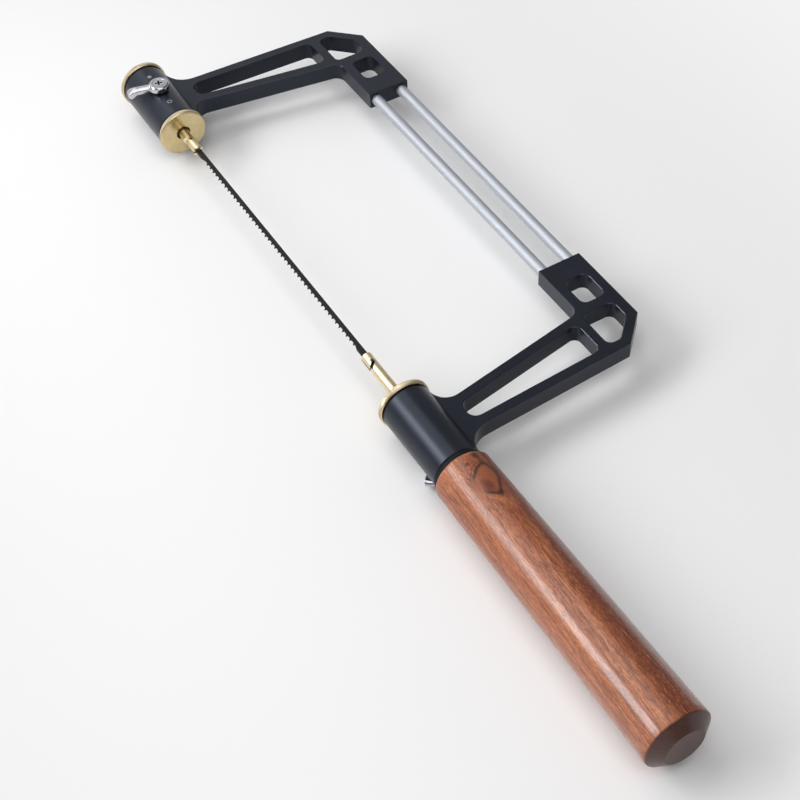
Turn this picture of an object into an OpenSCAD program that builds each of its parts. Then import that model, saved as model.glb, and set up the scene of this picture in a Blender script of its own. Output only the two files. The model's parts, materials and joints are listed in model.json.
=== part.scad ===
// Fret saw with a flat truss frame, swivelling blade holders and a turned wooden handle.
// Millimetres. X runs along the blade towards the butt of the handle, Y from the blade to the
// spine, Z out of the frame's upper side. The origin is the middle of the handle, on its axis.

/* [Frame] */
// Blade line to the outer face of the spine
spine_reach = 102; // [90:1:125]
// Distance between the middles of the two barrels
barrel_span = 237.5; // [190:0.5:290]
// Thickness of the arms
plate_t = 8; // [7.4:0.2:9]
// Width of the corner blocks, across the spine
block_w = 20; // [19.6:0.2:23]
// Middle of a barrel to the end face of its corner block, along the blade
block_run = 49.75; // [48.5:0.25:60]
// Middle of a barrel to the arm's inner edge, taken at the blade line
arm_root_in = 7.6; // [7:0.2:8.4]
// Middle of a barrel to the arm's outer edge, taken at the blade line
arm_root_out = 8.3; // [7.6:0.1:8.5]
// Lean of the arm's inner edge
inner_lean = 9.6; // [8:0.2:11]
// Lean of the arm's outer edge
outer_lean = 2.9; // [1:0.1:4]
// Width of the bars around the openings of an arm
bar_w = 4.3; // [3.6:0.1:5]
// Wall between the corner opening and the inner corner
corner_wall = 2.3; // [1.8:0.1:3.4]
// Legs of the cut across the outer corner
corner_cut = 12.4; // [9:0.2:13.6]
// Length of the window in the corner block, along the blade
window_l = 14.6; // [10:0.2:15]
// Width of the window in the corner block
window_w = 11; // [8:0.2:12]
// Corner radius of the openings
opening_r = 3; // [1.5:0.1:3.6]
// Plain length of a barrel between its ends and the fillets of its arm
root_land = 0.2; // [0.1:0.1:4]
// Fillet where an arm turns into its corner block
inner_corner_r = 5; // [3:0.2:7]

/* [Barrels] */
// Outer diameter of a barrel
barrel_d = 21; // [20:0.2:24]
// Length of a barrel
barrel_l = 37.5; // [36.5:0.5:42]
// Bevel on the edges of a barrel
barrel_bevel = 0.4; // [0.2:0.1:0.8]

/* [Rods] */
// Diameter of the spine rods
rod_d = 5; // [4:0.1:5.4]
// Distance between the two rods
rod_pitch = 13; // [11:0.2:13.4]
// Depth of the sockets that hold the rods
socket_depth = 9; // [7:0.2:9.2]
// Diameter of the set screws under the blocks
set_screw_d = 3; // [2.5:0.1:3.6]
// Length of the set screws
set_screw_l = 2; // [1.8:0.1:2.4]

/* [Blade] */
// Thickness of the blade
blade_t = 0.6; // [0.4:0.1:0.8]
// Width of the blade's plain ends, also the reach of its teeth
blade_w = 2.7; // [2.4:0.1:3.2]
// Width of the blade behind its teeth
blade_body_w = 1.8; // [1.4:0.1:2]
// Number of teeth
tooth_count = 46; // [30:1:70]
// Share of the tooth pitch that a tooth takes
tooth_share = 0.42; // [0.3:0.02:0.7]
// Plain length of the blade between a holder's tip and the first tooth
plain_l = 8; // [5:0.5:14]
// Length of the blade beyond each pin
blade_tail = 2.5; // [1.6:0.1:3]
// Diameter of the blade's pins
pin_d = 1.2; // [1:0.1:1.6]
// Length of the blade's pins
pin_l = 4.6; // [3.6:0.1:6]

/* [Blade holders] */
// Diameter of the shafts that turn in the barrels
shaft_d = 8; // [7.4:0.1:8.6]
// Diameter of the holders' noses
nose_d = 4.9; // [4.4:0.1:5.4]
// Length of the front nose, outside its collar
front_nose = 15.3; // [13:0.1:20]
// Length of the rear nose, outside its collar
rear_nose = 28.3; // [16:0.1:40]
// Tip of the front nose to its pin
front_setback = 7; // [4:0.1:8]
// Tip of the rear nose to its pin
rear_setback = 5; // [4:0.1:8]
// Diameter of the knurled collars and of the end cap
collar_d = 22.4; // [20:0.2:25]
// Thickness of the knurled collars and of the end cap
collar_t = 2.5; // [2.3:0.1:4]
// Depth of the recess round the nose, in a collar's face
collar_recess = 1.3; // [0.6:0.1:1.6]
// Gap between a nose and the hole in its collar's face
nose_gap = 0.8; // [0.5:0.1:1.2]
// Bevel on the edges of the collars
collar_bevel = 0.5; // [0.2:0.1:0.8]
// Thickness of the washers under the collars and the cap
washer_t = 0.6; // [0.4:0.1:1.2]
// Diameter of the washers under the collars and the cap
washer_d = 20.2; // [14:0.2:20.6]
// Diameter of the end cap's screw
cap_screw_d = 3; // [2.5:0.1:3.5]
// Length of the end cap's screw
cap_screw_l = 10; // [6:0.5:14]

/* [Tensioner] */
// Travel of the rear holder from tight to slack
slack = 1; // [0.4:0.1:1.4]
// Length of the rear holder's shaft past its clamp stud
shaft_past = 2.75; // [1:0.05:4]
// Front end of the draw bolt to the guide screw
guide_inset = 7.4; // [3:0.1:9]
// Diameter of the rear holder's tail, inside the draw bolt
tail_d = 4; // [3.4:0.1:4.4]
// Length of the draw bolt inside the handle
bolt_reach = 28; // [25:0.5:36]
// Thickness of the clip on the tail
clip_t = 0.6; // [0.4:0.1:1]
// Diameter of the clip and of its washer
clip_d = 7.2; // [6:0.1:7.4]
// Diameter of the guide screw that keeps the draw bolt from turning
guide_d = 3; // [2.4:0.1:3.6]
// Diameter of the guide screw's point
guide_point_d = 2; // [1.6:0.1:2.2]
// Thickness of the ring between barrel and handle
ring_t = 2.4; // [1.6:0.1:4]
// Diameter of the ring between barrel and handle
ring_d = 20.6; // [16:0.2:21]

/* [Levers] */
// Diameter of a lever's hub
hub_d = 9.2; // [8.6:0.1:10]
// Height of a lever's hub
hub_h = 3.9; // [3.8:0.1:5]
// Reach of a lever, from the middle of its hub to its tip
lever_reach = 15.4; // [14.6:0.1:18]
// Width of a lever's arm
arm_w = 3.8; // [3.2:0.1:4]
// Thickness of a lever's arm
arm_t = 3.2; // [2.4:0.1:3.2]
// Bevel along the upper edges of a lever's arm
arm_bevel = 1.2; // [0.6:0.1:1.4]
// Width of a lever's tip
tip_w = 4.4; // [4:0.1:5]
// Drop of a lever's tip below its arm
tip_drop = 3.6; // [2.4:0.1:3.6]
// Lean of the front lever towards the outer end of its barrel, when locked
front_lean = 16; // [0:1:54]
// Lean of the rear lever towards the outer end of its barrel, when locked
rear_lean = 54; // [0:1:54]
// Diameter of the clamp studs
stud_d = 5; // [4:0.1:5.6]
// Thickness of the clamp pads
pad_t = 1.2; // [0.8:0.1:1.6]
// Diameter of a lever screw's head
lever_head_d = 5.6; // [4.4:0.1:6.2]
// Diameter of a lever screw's thread
lever_screw_d = 2.4; // [2:0.1:2.6]

/* [Handle] */
// Length of the handle
handle_l = 136; // [110:1:160]
// Diameter of the handle at its front
handle_front_d = 24; // [22:0.2:28]
// Diameter of the handle at its butt
handle_butt_d = 27; // [24:0.2:34]
// Rounding of the handle's front edge
handle_round = 1.3; // [0.6:0.1:2.5]
// Length of the bevel at the butt
butt_bevel_l = 3.8; // [2:0.2:6]
// Diameter of the flat end of the butt
butt_face_d = 16.4; // [10:0.2:20]
// Diameter of the threaded insert
insert_d = 12; // [11:0.2:14]
// Length of the threaded insert
insert_l = 20; // [14:0.5:23]
// Depth of the insert below the handle's front
insert_inset = 1; // [0.5:0.1:2]

/* [Clearances] */
// Radial gap of a shaft that turns or slides
running_gap = 0.05; // [0.02:0.01:0.08]
// Radial gap of a piece that is fixed in its seat
seat_gap = 0.02; // [0.01:0.01:0.04]
// Gap between faces that turn against each other
face_gap = 0.1; // [0.05:0.05:0.3]
// Gap round the pins and the blade in their holders
pin_gap = 0.1; // [0.05:0.05:0.15]

/* [Hidden] */
$fn = 96;

anodised = "#3a3c46";
bright_steel = "#c8cbd6";
dark_steel = "#54565c";
brass = "#b8a473";
chrome = "#d9dce2";
black_nylon = "#141416";
blade_steel = "#33332f";
rosewood = "#96573c";

// Overshoot of a cut past the face that it opens
cut = 0.5;
// Points in a quarter turn of an outline's round corner
arc_steps = 10;

barrel_r = barrel_d / 2;
half_l = barrel_l / 2;
shaft_r = shaft_d / 2;
bore_r = shaft_r + running_gap;
nose_r = nose_d / 2;
tail_r = tail_d / 2;
handle_front_x = -handle_l / 2;
rear_end_x = handle_front_x - face_gap - ring_t;
rear_x = rear_end_x - half_l;
front_x = rear_x - barrel_span;
rear_inner_x = rear_x - half_l;
front_inner_x = front_x + half_l;
front_outer_x = front_x - half_l;

// Faces of the collars: seat towards the barrel, face towards the blade
collar_stack = washer_t + face_gap;
rear_seat_x = rear_inner_x - collar_stack;
rear_face_x = rear_seat_x - collar_t;
front_seat_x = front_inner_x + collar_stack;
front_face_x = front_seat_x + collar_t;
cap_seat_x = front_outer_x - collar_stack;
cap_face_x = cap_seat_x - collar_t;

front_tip_x = front_face_x + front_nose;
front_pin_x = front_tip_x - front_setback;
rear_tip_x = rear_face_x - rear_nose;
rear_pin_x = rear_tip_x + rear_setback;
rear_shaft_x = rear_x + stud_d / 2 + shaft_past;
bolt_x = rear_shaft_x + face_gap;
bolt_end_x = handle_front_x + bolt_reach;
clip_washer_t = 0.5;
clip_x = bolt_end_x + face_gap + clip_washer_t + face_gap;
tail_end_x = clip_x + clip_t + 1.2;
groove_r = tail_r - 0.5;
guide_x = bolt_x + guide_inset;
guide_tip_r = shaft_r - 0.8;
key_floor_r = guide_tip_r - 0.2;

rod_mid_y = spine_reach - block_w / 2;
rod_r = rod_d / 2;
block_y = spine_reach - block_w;
front_block_x = front_x + block_run;
rear_block_x = rear_x - block_run;
spot_depth = 0.5;
set_screw_top = rod_r - spot_depth;
set_screw_in = set_screw_top + set_screw_l;
set_screw_back = socket_depth / 2;

lever_seat_z = barrel_r - 0.6;
hub_z = lever_seat_z + face_gap + 0.2;
hub_top_z = hub_z + hub_h;
pad_z = shaft_r + 2 * face_gap;
stud_z = pad_z + pad_t;
stud_spigot_r = stud_d / 2 - 0.5;
lever_head_t = 1;
head_z = hub_top_z - lever_head_t;
spigot_top_z = head_z - 0.8;
lever_screw_in = 3.6;

slit_half = pin_d / 2 + pin_gap;
blade_slot_t = blade_t + 2 * pin_gap;
tooth_reach = blade_w / 2;

// Place of a rod: -1 the inner one, 1 the outer one
function rod_y(side) = rod_mid_y + side * rod_pitch / 2;

// Edges of an arm, measured outwards from the middle of its barrel
function inner_edge(y) = -arm_root_in - y * tan(inner_lean);
function outer_edge(y) = arm_root_out - y * tan(outer_lean);

// Unit vector from a to b
function toward(a, b) = (b - a) / norm(b - a);

// Arc that rounds the corner b of the path a, b, c with radius r
function corner_arc(a, b, c, r) =
    let (u = toward(b, a), v = toward(b, c), half = acos(u * v) / 2)
    let (middle = b + (u + v) / norm(u + v) * r / sin(half))
    let (from = b + u * r / tan(half) - middle, to = b + v * r / tan(half) - middle)
    let (start = atan2(from.y, from.x), turn = atan2(from.x * to.y - from.y * to.x, from * to))
    let (steps = max(2, round(arc_steps * abs(turn) / 90)))
    [for (i = [0 : steps]) middle + r * [cos(start + turn * i / steps), sin(start + turn * i / steps)]];

// Outline through corners [x, y, radius], each rounded with its own radius
function rounded(corners) =
    let (n = len(corners), place = [for (c = corners) [c.x, c.y]])
    [for (i = [0 : n - 1]) each
        corners[i].z > 0
            ? corner_arc(place[(i + n - 1) % n], place[i], place[(i + 1) % n], corners[i].z)
            : [place[i]]];

// Round bar along +X from x, with bevels at both ends
module bar_x(x, length, r, bevel_a = 0, bevel_b = 0) {
    translate([x, 0, 0])
        rotate([0, 90, 0])
            rotate_extrude()
                polygon([[0, 0], [r - bevel_a, 0], [r, bevel_a], [r, length - bevel_b],
                    [r - bevel_b, length], [0, length]]);
}

// Plain round cut or bar along +X
module rod_x(x, length, r) {
    translate([x, 0, 0])
        rotate([0, 90, 0])
            cylinder(h = length, r = r);
}

// Six-sided driver socket, point to point across the flats, along +Z from the origin
module hex_socket(flats, depth) {
    cylinder(h = depth, d = flats / cos(30), $fn = 6);
}

// Cross recess of a screw head, cut downwards from the origin
module cross_recess(span, width, depth) {
    for (turn = [0, 90])
        rotate(turn)
            translate([-span / 2, -width / 2, -depth])
                cube([span, width, depth + cut]);
}

// Arm outline, outwards of its barrel's middle is +x
function arm_outline() =
    let (web_y = sqrt(pow(barrel_r, 2) - pow(plate_t / 2, 2)) - 0.1)
    let (cut_y = spine_reach - corner_cut, reach = half_l - barrel_bevel)
    let (fillet_in = (reach - root_land + inner_edge(web_y)) * tan(45 - inner_lean / 2))
    let (fillet_out = (reach - root_land - outer_edge(web_y)) * tan(45 + outer_lean / 2))
    rounded([
        [reach, 0, 0],
        [reach, web_y, 0],
        [outer_edge(web_y), web_y, fillet_out],
        [outer_edge(cut_y), cut_y, 0],
        [outer_edge(cut_y) - corner_cut, spine_reach, 0],
        [-block_run, spine_reach, 0],
        [-block_run, block_y, 0],
        [inner_edge(block_y), block_y, inner_corner_r],
        [inner_edge(web_y), web_y, fillet_in],
        [-reach, web_y, 0],
        [-reach, 0, 0]
    ]);

// Long tapering opening between the two bars of an arm
function slot_outline() =
    let (foot_y = barrel_r + bar_w + 1.5, head_y = block_y - bar_w)
    let (foot_in = inner_edge(foot_y) + bar_w, foot_out = outer_edge(foot_y) - bar_w)
    let (foot_r = (foot_out - foot_in) * 0.42)
    rounded([
        [foot_out, foot_y, foot_r],
        [outer_edge(head_y) - bar_w, head_y, opening_r],
        [inner_edge(head_y) + bar_w, head_y, opening_r],
        [foot_in, foot_y, foot_r]
    ]);

// Opening behind the cut corner
function corner_outline() =
    let (top_y = spine_reach - bar_w - 0.7, in_x = inner_edge(block_y) + corner_wall)
    let (cut_y = spine_reach - corner_cut, slope = bar_w * tan(22.5))
    let (out_x = outer_edge(cut_y) - bar_w, knee_y = cut_y - slope)
    rounded([
        [out_x, block_y, opening_r],
        [out_x, knee_y, opening_r],
        [out_x - (top_y - knee_y), top_y, opening_r],
        [in_x, top_y, opening_r],
        [in_x, block_y, opening_r * 0.8]
    ]);

// Window between the corner opening and the rod sockets
function window_outline() =
    let (end_x = inner_edge(block_y) + corner_wall - bar_w - 0.8, half = window_w / 2)
    rounded([
        [end_x, rod_mid_y - half, opening_r],
        [end_x, rod_mid_y + half, opening_r],
        [end_x - window_l, rod_mid_y + half, opening_r],
        [end_x - window_l, rod_mid_y - half, opening_r]
    ]);

// Arm with its barrel, outwards is +x; lever_up is 1 with the lever on top, -1 underneath
module arm(lever_up) {
    difference() {
        union() {
            translate([0, 0, -plate_t / 2])
                linear_extrude(plate_t)
                    polygon(arm_outline());
            bar_x(-half_l, barrel_l, barrel_r, barrel_bevel, barrel_bevel);
        }
        for (opening = [slot_outline(), corner_outline(), window_outline()])
            translate([0, 0, -plate_t / 2 - cut])
                linear_extrude(plate_t + 2 * cut)
                    polygon(opening);
        rod_x(-half_l - cut, barrel_l + 2 * cut, bore_r);
        for (side = [-1, 1])
            translate([0, rod_y(side), 0]) {
                rod_x(-block_run - cut, socket_depth + cut + seat_gap, rod_r + seat_gap);
                translate([-block_run + set_screw_back, 0, -plate_t / 2 - cut])
                    cylinder(h = plate_t / 2 + cut, d = set_screw_d + 2 * seat_gap);
            }
        rotate([lever_up > 0 ? 0 : 180, 0, 0]) {
            cylinder(h = barrel_r + cut, d = stud_d + 2 * running_gap);
            translate([0, 0, lever_seat_z])
                cylinder(h = barrel_r, d = hub_d + 0.8);
        }
    }
}

module front_arm() {
    color(anodised)
        translate([front_x, 0, 0])
            mirror([1, 0, 0])
                arm(1);
}

module rear_arm() {
    color(anodised)
        difference() {
            translate([rear_x, 0, 0])
                arm(-1);
            translate([guide_x, 0, -barrel_r - cut])
                cylinder(h = barrel_r + cut, d = guide_d + 2 * seat_gap);
        }
}

// Spine rod, spotted underneath where the set screws bite
module spine_rod(side) {
    length = rear_block_x - front_block_x + 2 * socket_depth;
    color(bright_steel)
        translate([0, rod_y(side), 0])
            difference() {
                bar_x(front_block_x - socket_depth, length, rod_r, 0.4, 0.4);
                for (x = [front_block_x - set_screw_back, rear_block_x + set_screw_back])
                    translate([x, 0, -rod_r - cut])
                        cylinder(h = cut + spot_depth + seat_gap, d = set_screw_d + 2 * seat_gap);
            }
}

module inner_rod() {
    spine_rod(-1);
}

module outer_rod() {
    spine_rod(1);
}

module rod_set_screws() {
    color(dark_steel)
        for (side = [-1, 1], x = [front_block_x - set_screw_back, rear_block_x + set_screw_back])
            translate([x, rod_y(side), -set_screw_in])
                difference() {
                    cylinder(h = set_screw_l, d = set_screw_d);
                    translate([0, 0, -cut])
                        hex_socket(set_screw_d / 2, set_screw_l * 0.55 + cut);
                }
}

// Washers that lie against the barrels, under the collars and the end cap
module collar_washers() {
    color(black_nylon)
        for (x = [rear_inner_x - washer_t, front_inner_x, front_outer_x - washer_t])
            difference() {
                rod_x(x, washer_t, washer_d / 2);
                rod_x(x - cut, washer_t + 2 * cut, shaft_r + 3 * face_gap);
            }
}

module thrust_ring() {
    color(black_nylon)
        difference() {
            bar_x(rear_end_x, ring_t, ring_d / 2, 0.3, 0.3);
            rod_x(rear_end_x - cut, ring_t + 2 * cut, shaft_r + 3 * face_gap);
        }
}

module guide_screw() {
    head_z = barrel_r - 0.6;
    shoulder_z = shaft_r + 0.6;
    color(dark_steel)
        translate([guide_x, 0, 0])
            rotate([180, 0, 0])
                difference() {
                    union() {
                        translate([0, 0, shoulder_z])
                            cylinder(h = head_z - shoulder_z, d = guide_d);
                        translate([0, 0, guide_tip_r])
                            cylinder(h = head_z - guide_tip_r, d = guide_point_d);
                    }
                    translate([0, 0, head_z - 1.6])
                        hex_socket(guide_d / 2, 1.6 + cut);
                }
}

// Cuts of a nose: the blade's slot, the pin's seat with its travel, and the slit that takes the pin
// in from the toothed side where it is slack.
// way is 1 where the nose points to -X and the pin leaves towards +X, and -1 the other way
module nose_cuts(tip_x, pin_x, way, travel) {
    slot_l = abs(pin_x - tip_x) + blade_tail + travel + pin_gap;
    slot_x = way > 0 ? tip_x - cut : tip_x - slot_l;
    translate([slot_x, -nose_r - cut, -blade_slot_t / 2])
        cube([slot_l + cut, nose_d + 2 * cut, blade_slot_t]);
    translate([pin_x, 0, -nose_r - cut])
        cylinder(h = nose_d + 2 * cut, r = slit_half);
    translate([pin_x + way * travel, 0, -nose_r - cut]) {
        cylinder(h = nose_d + 2 * cut, r = slit_half);
        rotate(way > 0 ? -45 : -135)
            translate([0, -slit_half, 0])
                cube([nose_d, 2 * slit_half, nose_d + 2 * cut]);
    }
    if (travel > 0)
        translate([pin_x, -slit_half, -nose_r - cut])
            cube([travel, 2 * slit_half, nose_d + 2 * cut]);
}

module front_spindle() {
    shaft_end_x = front_face_x - collar_recess;
    color(brass)
        difference() {
            union() {
                bar_x(cap_seat_x, shaft_end_x - cap_seat_x, shaft_r, 0.3, 0.2);
                bar_x(shaft_end_x - cut, front_tip_x - shaft_end_x + cut, nose_r, 0, 0.5);
            }
            nose_cuts(front_tip_x, front_pin_x, -1, 0);
            rod_x(cap_seat_x - cut, cap_screw_l + cut, cap_screw_d / 2 + seat_gap);
        }
}

// Knurled disc with its seat at x, its face collar_t further along way
module knurled_disc(x, way) {
    bar_x(way > 0 ? x : x - collar_t, collar_t, collar_d / 2, collar_bevel, collar_bevel);
}

module front_collar() {
    color(brass)
        difference() {
            knurled_disc(front_seat_x, 1);
            rod_x(front_seat_x - cut, collar_t - collar_recess + seat_gap + cut, shaft_r + seat_gap);
            rod_x(front_seat_x, collar_t + cut, nose_r + nose_gap);
        }
}

module front_cap() {
    color(brass)
        difference() {
            knurled_disc(cap_seat_x, -1);
            rod_x(cap_face_x - cut, collar_t + 2 * cut, cap_screw_d / 2 + 2 * seat_gap);
            countersunk(2 * seat_gap, cut);
        }
}

// Countersunk head of the cap's screw, grown by gap and carried out past the cap by extra
module countersunk(gap, extra) {
    head_r = cap_screw_d + gap;
    stem_r = cap_screw_d / 2 + gap;
    translate([cap_face_x, 0, 0])
        rotate([0, 90, 0])
            rotate_extrude()
                polygon([[0, -extra], [head_r, -extra], [head_r, 0], [stem_r, head_r - stem_r],
                    [0, head_r - stem_r]]);
}

module front_cap_screw() {
    color(dark_steel)
        difference() {
            union() {
                countersunk(0, 0);
                rod_x(cap_face_x + 1, cap_seat_x - cap_face_x - 1 + cap_screw_l - cut, cap_screw_d / 2);
            }
            translate([cap_face_x, 0, 0])
                rotate([0, -90, 0])
                    cross_recess(cap_screw_d, 0.7, 1.1);
        }
}

// Blade outline in the frame's plane, with its teeth towards -y and cutting towards the handle
function blade_outline() =
    let (start_x = front_pin_x - blade_tail, end_x = rear_pin_x + blade_tail)
    let (from_x = front_tip_x + plain_l, to_x = rear_tip_x - plain_l)
    let (pitch = (to_x - from_x) / tooth_count, root_y = tooth_reach - blade_body_w)
    concat(
        [[start_x, tooth_reach], [start_x, -tooth_reach], [from_x - pitch, -tooth_reach], [from_x, root_y]],
        [for (i = [0 : tooth_count - 1]) each [
            [from_x + pitch * (i + 1 - tooth_share), root_y],
            [from_x + pitch * (i + 0.96), -tooth_reach],
            [from_x + pitch * (i + 1), root_y]]],
        [[to_x + pitch, -tooth_reach], [end_x, -tooth_reach], [end_x, tooth_reach]]);

module blade() {
    color(blade_steel)
        difference() {
            translate([0, 0, -blade_t / 2])
                linear_extrude(blade_t)
                    polygon(blade_outline());
            for (x = [front_pin_x, rear_pin_x])
                translate([x, 0, -blade_t])
                    cylinder(h = 2 * blade_t, d = pin_d + 2 * seat_gap);
        }
}

module blade_pins() {
    color(dark_steel)
        for (x = [front_pin_x, rear_pin_x])
            translate([x, 0, -pin_l / 2])
                cylinder(h = pin_l, d = pin_d);
}

module rear_spindle() {
    shaft_start_x = rear_face_x + collar_recess;
    color(brass)
        difference() {
            union() {
                bar_x(rear_tip_x, shaft_start_x - rear_tip_x + cut, nose_r, 0.5, 0);
                bar_x(shaft_start_x, rear_shaft_x - shaft_start_x, shaft_r, 0.2, 0.3);
                bar_x(rear_shaft_x - cut, tail_end_x - rear_shaft_x + cut, tail_r, 0, 0.4);
            }
            nose_cuts(rear_tip_x, rear_pin_x, 1, slack);
            difference() {
                rod_x(clip_x - face_gap, clip_t + 2 * face_gap, tail_r + cut);
                rod_x(clip_x - cut, clip_t + 2 * cut, groove_r);
            }
        }
}

module rear_collar() {
    color(brass)
        difference() {
            knurled_disc(rear_seat_x, -1);
            rod_x(rear_face_x + collar_recess - seat_gap, collar_t - collar_recess + seat_gap + cut,
                shaft_r + seat_gap);
            rod_x(rear_face_x - cut, collar_t + cut, nose_r + nose_gap);
        }
}

// Hollow bolt that the handle draws back, keyed to the barrel by the guide screw
module draw_bolt() {
    key_half = guide_point_d / 2 + pin_gap;
    color(bright_steel)
        difference() {
            bar_x(bolt_x, bolt_end_x - bolt_x, shaft_r, 0.3, 0.4);
            rod_x(bolt_x - cut, bolt_end_x - bolt_x + 2 * cut, tail_r + running_gap);
            translate([guide_x - key_half, -key_half, -shaft_r - cut])
                cube([2 * key_half + slack, 2 * key_half, shaft_r - key_floor_r + cut]);
        }
}

module tail_washer() {
    x = bolt_end_x + face_gap;
    color(bright_steel)
        difference() {
            rod_x(x, clip_washer_t, clip_d / 2);
            rod_x(x - cut, clip_washer_t + 2 * cut, tail_r + 2 * running_gap);
        }
}

// Clip in the tail's groove, open on one side
module tail_clip() {
    color(dark_steel)
        difference() {
            rod_x(clip_x, clip_t, clip_d / 2);
            rod_x(clip_x - cut, clip_t + 2 * cut, groove_r + seat_gap);
            translate([clip_x - cut, 0, -groove_r * 0.8])
                cube([clip_t + 2 * cut, clip_d, groove_r * 1.6]);
        }
}

// Lever with its hub on the Z axis and its arm along +x
module lever() {
    top_z = hub_top_z - 0.3;
    low_z = top_z - tip_drop;
    bend_x = lever_reach - 3.6;
    ridge = arm_w / 2 - arm_bevel;
    side = rounded([
        [hub_d / 4, top_z, 0],
        [bend_x, top_z, 2.4],
        [lever_reach, low_z + 0.8, 1.2],
        [lever_reach - 2.1, low_z - 1.2, 1.1],
        [bend_x - arm_t * 0.6, top_z - arm_t, 2],
        [hub_d / 4, top_z - arm_t, 0]
    ]);
    plan = rounded([
        [0, arm_w / 2, 0],
        [0, -arm_w / 2, 0],
        [bend_x - 2, -arm_w / 2, 4],
        [bend_x + 1, -tip_w / 2, 1.5],
        [lever_reach + 0.2, -tip_w / 2, 1.9],
        [lever_reach + 0.2, tip_w / 2, 1.9],
        [bend_x + 1, tip_w / 2, 1.5],
        [bend_x - 2, arm_w / 2, 4]
    ]);
    difference() {
        union() {
            translate([0, 0, hub_z])
                rotate_extrude()
                    polygon([[0, 0], [hub_d / 2 - 1, 0], [hub_d / 2, 1], [hub_d / 2, hub_h - 0.6],
                        [hub_d / 2 - 0.6, hub_h], [0, hub_h]]);
            intersection() {
                rotate([90, 0, 0])
                    translate([0, 0, -tip_w])
                        linear_extrude(2 * tip_w)
                            polygon(side);
                translate([0, 0, low_z - 2])
                    linear_extrude(hub_top_z)
                        polygon(plan);
                rotate([90, 0, 90])
                    linear_extrude(lever_reach + 1)
                        polygon([[-tip_w, 0], [tip_w, 0], [tip_w, top_z + ridge - tip_w], [ridge, top_z],
                            [-ridge, top_z], [-tip_w, top_z + ridge - tip_w]]);
            }
        }
        translate([0, 0, hub_z - cut])
            cylinder(h = spigot_top_z - hub_z + cut, r = stud_spigot_r + seat_gap);
        translate([0, 0, hub_z])
            cylinder(h = hub_h + cut, d = lever_screw_d + 4 * seat_gap);
        translate([0, 0, head_z])
            cylinder(h = hub_h, d = lever_head_d + 4 * seat_gap);
    }
}

module lever_screw() {
    difference() {
        union() {
            translate([0, 0, head_z])
                cylinder(h = lever_head_t, d = lever_head_d);
            translate([0, 0, head_z - lever_screw_in])
                cylinder(h = lever_screw_in + lever_head_t / 2, d = lever_screw_d);
        }
        translate([0, 0, hub_top_z])
            cross_recess(lever_head_d * 0.62, 0.8, 0.6);
    }
}

module lever_stud() {
    difference() {
        union() {
            translate([0, 0, stud_z])
                cylinder(h = lever_seat_z - stud_z, d = stud_d);
            translate([0, 0, lever_seat_z - cut])
                cylinder(h = spigot_top_z - lever_seat_z + cut, r = stud_spigot_r);
        }
        translate([0, 0, head_z - lever_screw_in - seat_gap])
            cylinder(h = lever_screw_in, d = lever_screw_d + 2 * seat_gap);
    }
}

module clamp_pad() {
    translate([0, 0, pad_z])
        cylinder(h = pad_t, d = stud_d - 2 * running_gap);
}

// Places lever pieces on top of the front barrel
module at_front_lever() {
    translate([front_x, 0, 0])
        rotate(270 - front_lean)
            children();
}

// Places lever pieces under the rear barrel
module at_rear_lever() {
    translate([rear_x, 0, 0])
        rotate([0, 180, 0])
            rotate(270 - rear_lean)
                children();
}

module front_lever() {
    color(chrome)
        at_front_lever()
            lever();
}

module front_lever_screw() {
    color(bright_steel)
        at_front_lever()
            lever_screw();
}

module front_lever_stud() {
    color(dark_steel)
        at_front_lever()
            lever_stud();
}

module front_clamp_pad() {
    color(brass)
        at_front_lever()
            clamp_pad();
}

module rear_lever() {
    color(chrome)
        at_rear_lever()
            lever();
}

module rear_lever_screw() {
    color(bright_steel)
        at_rear_lever()
            lever_screw();
}

module rear_lever_stud() {
    color(dark_steel)
        at_rear_lever()
            lever_stud();
}

module rear_clamp_pad() {
    color(brass)
        at_rear_lever()
            clamp_pad();
}

// Turned handle, bored from its front for the insert and the end of the draw bolt
module handle() {
    front_r = handle_front_d / 2;
    butt_r = handle_butt_d / 2;
    well_l = tail_end_x - handle_front_x + 2;
    profile = rounded([
        [0, 0, 0],
        [front_r, 0, handle_round],
        [butt_r, handle_l - butt_bevel_l, 0.8],
        [butt_face_d / 2, handle_l, 0.8],
        [0, handle_l, 0]
    ]);
    color(rosewood)
        difference() {
            translate([handle_front_x, 0, 0])
                rotate([0, 90, 0])
                    rotate_extrude()
                        polygon(profile);
            rod_x(handle_front_x - cut, insert_inset + insert_l + cut, insert_d / 2 + seat_gap);
            rod_x(handle_front_x - cut, well_l + cut, shaft_r + 6 * face_gap);
        }
}

module handle_insert() {
    x = handle_front_x + insert_inset;
    color(brass)
        difference() {
            bar_x(x, insert_l, insert_d / 2, 0.4, 0.4);
            rod_x(x - cut, insert_l + 2 * cut, shaft_r + running_gap);
        }
}

front_arm();
rear_arm();
inner_rod();
outer_rod();
rod_set_screws();
collar_washers();
thrust_ring();
guide_screw();
front_spindle();
front_collar();
front_cap();
front_cap_screw();
blade();
blade_pins();
rear_spindle();
rear_collar();
draw_bolt();
tail_washer();
tail_clip();
front_lever();
front_lever_screw();
front_lever_stud();
front_clamp_pad();
rear_lever();
rear_lever_screw();
rear_lever_stud();
rear_clamp_pad();
handle();
handle_insert();
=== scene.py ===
"""Dressed model of a fret saw with a flat truss frame, on a pale studio floor.

Laid out as an add-on and run as a script. Each operator finishes one group of pieces.
Metres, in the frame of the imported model: X along the blade towards the butt of the handle,
Y from the blade to the spine, Z out of the frame's upper side.
"""
import json
import math

import bmesh
import bpy
from mathutils import Matrix, Vector

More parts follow.
